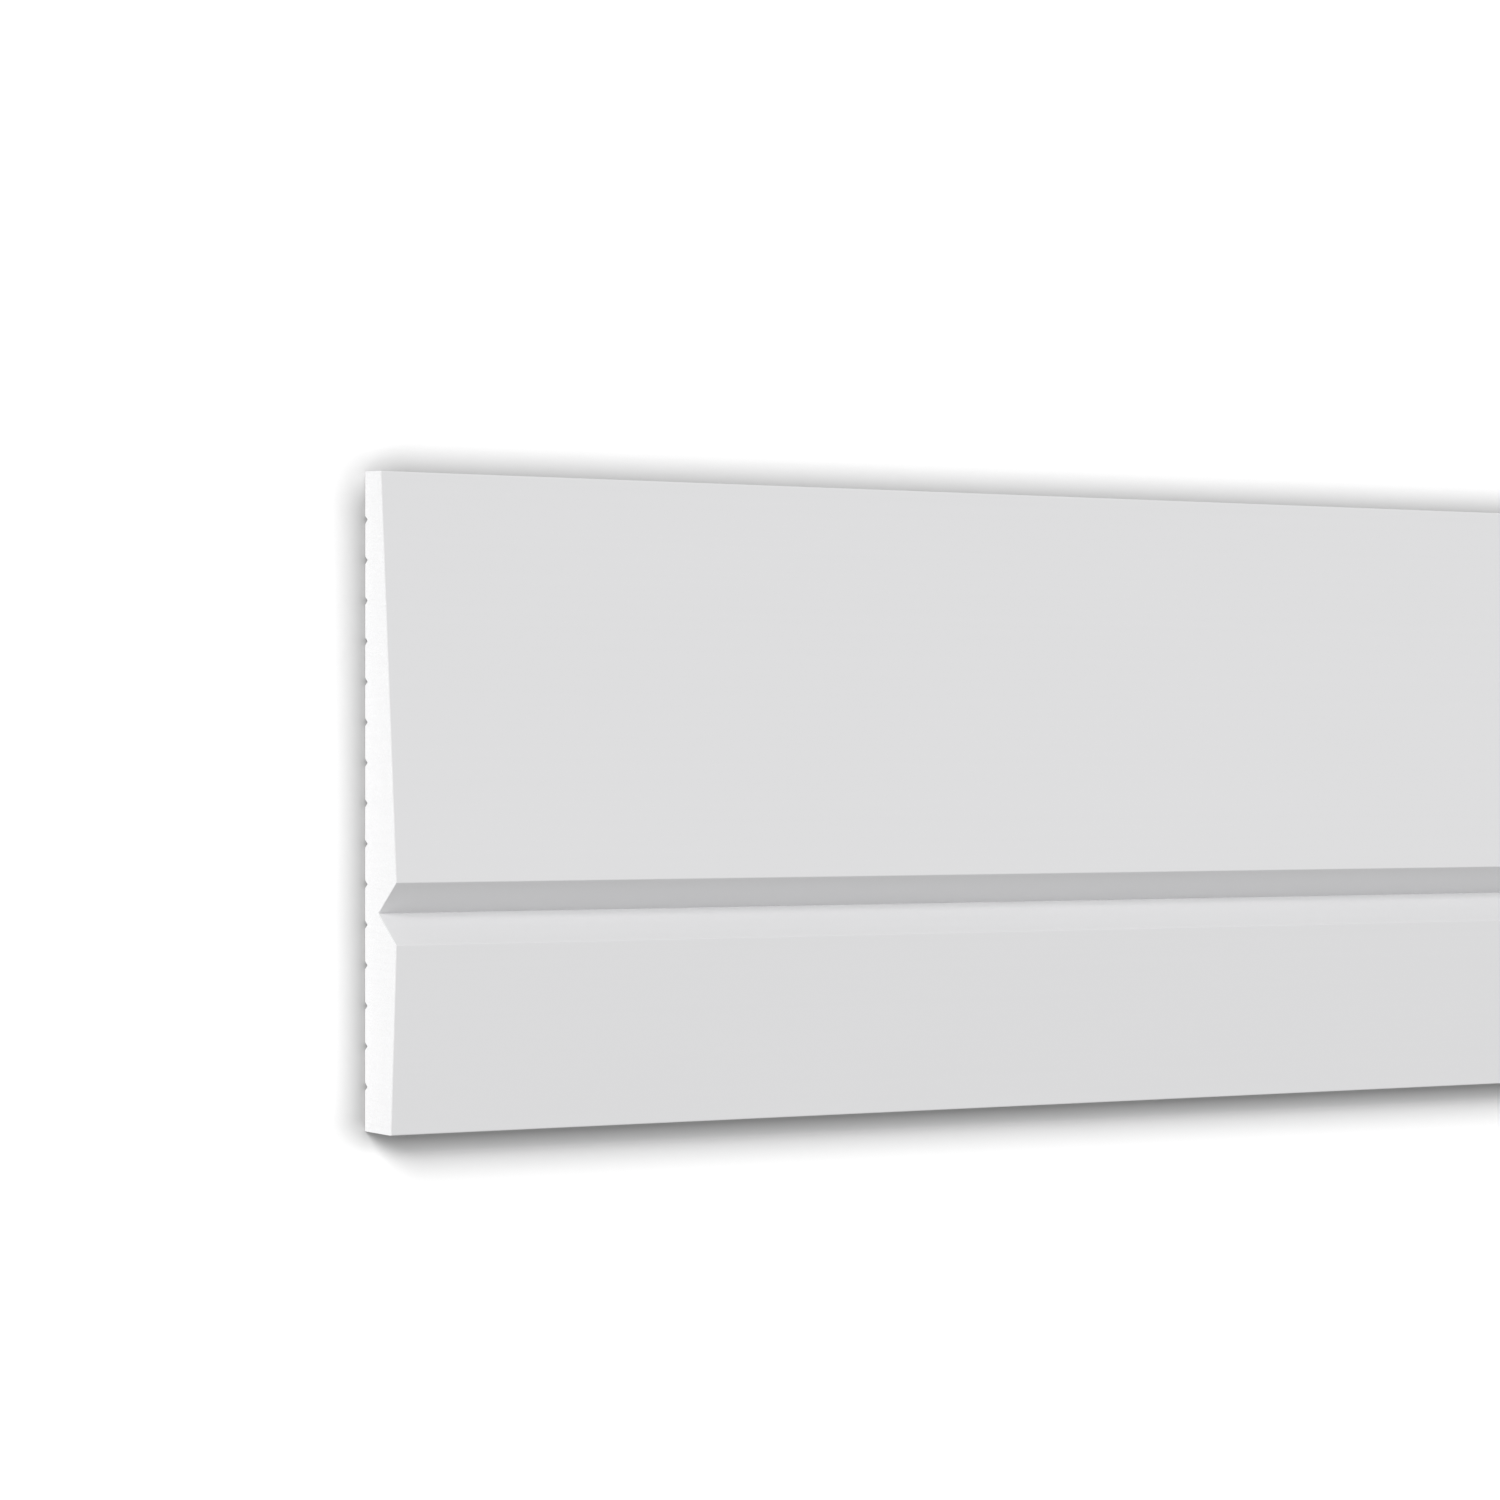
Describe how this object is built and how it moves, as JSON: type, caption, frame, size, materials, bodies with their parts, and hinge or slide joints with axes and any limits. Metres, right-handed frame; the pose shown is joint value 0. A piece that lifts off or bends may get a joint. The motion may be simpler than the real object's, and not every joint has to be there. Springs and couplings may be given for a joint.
{
  "type": "skirting board",
  "caption": "Long extruded skirting board with a tapering face, a bold V-groove a third of the way up and a flat back with fine keys for adhesive.",
  "frame": {"origin": "middle of the back, which lies on the floor", "axes": "+X along the board, +Y from the floor edge to the top edge, +Z out of the wall, from the back to the face"},
  "size_m": [2, 0.163, 0.018],
  "materials": {
    "primed_polymer": "matte"
  },
  "bodies": {
    "root": {"skirting_board": "primed_polymer"}
  },
  "joints": []
}
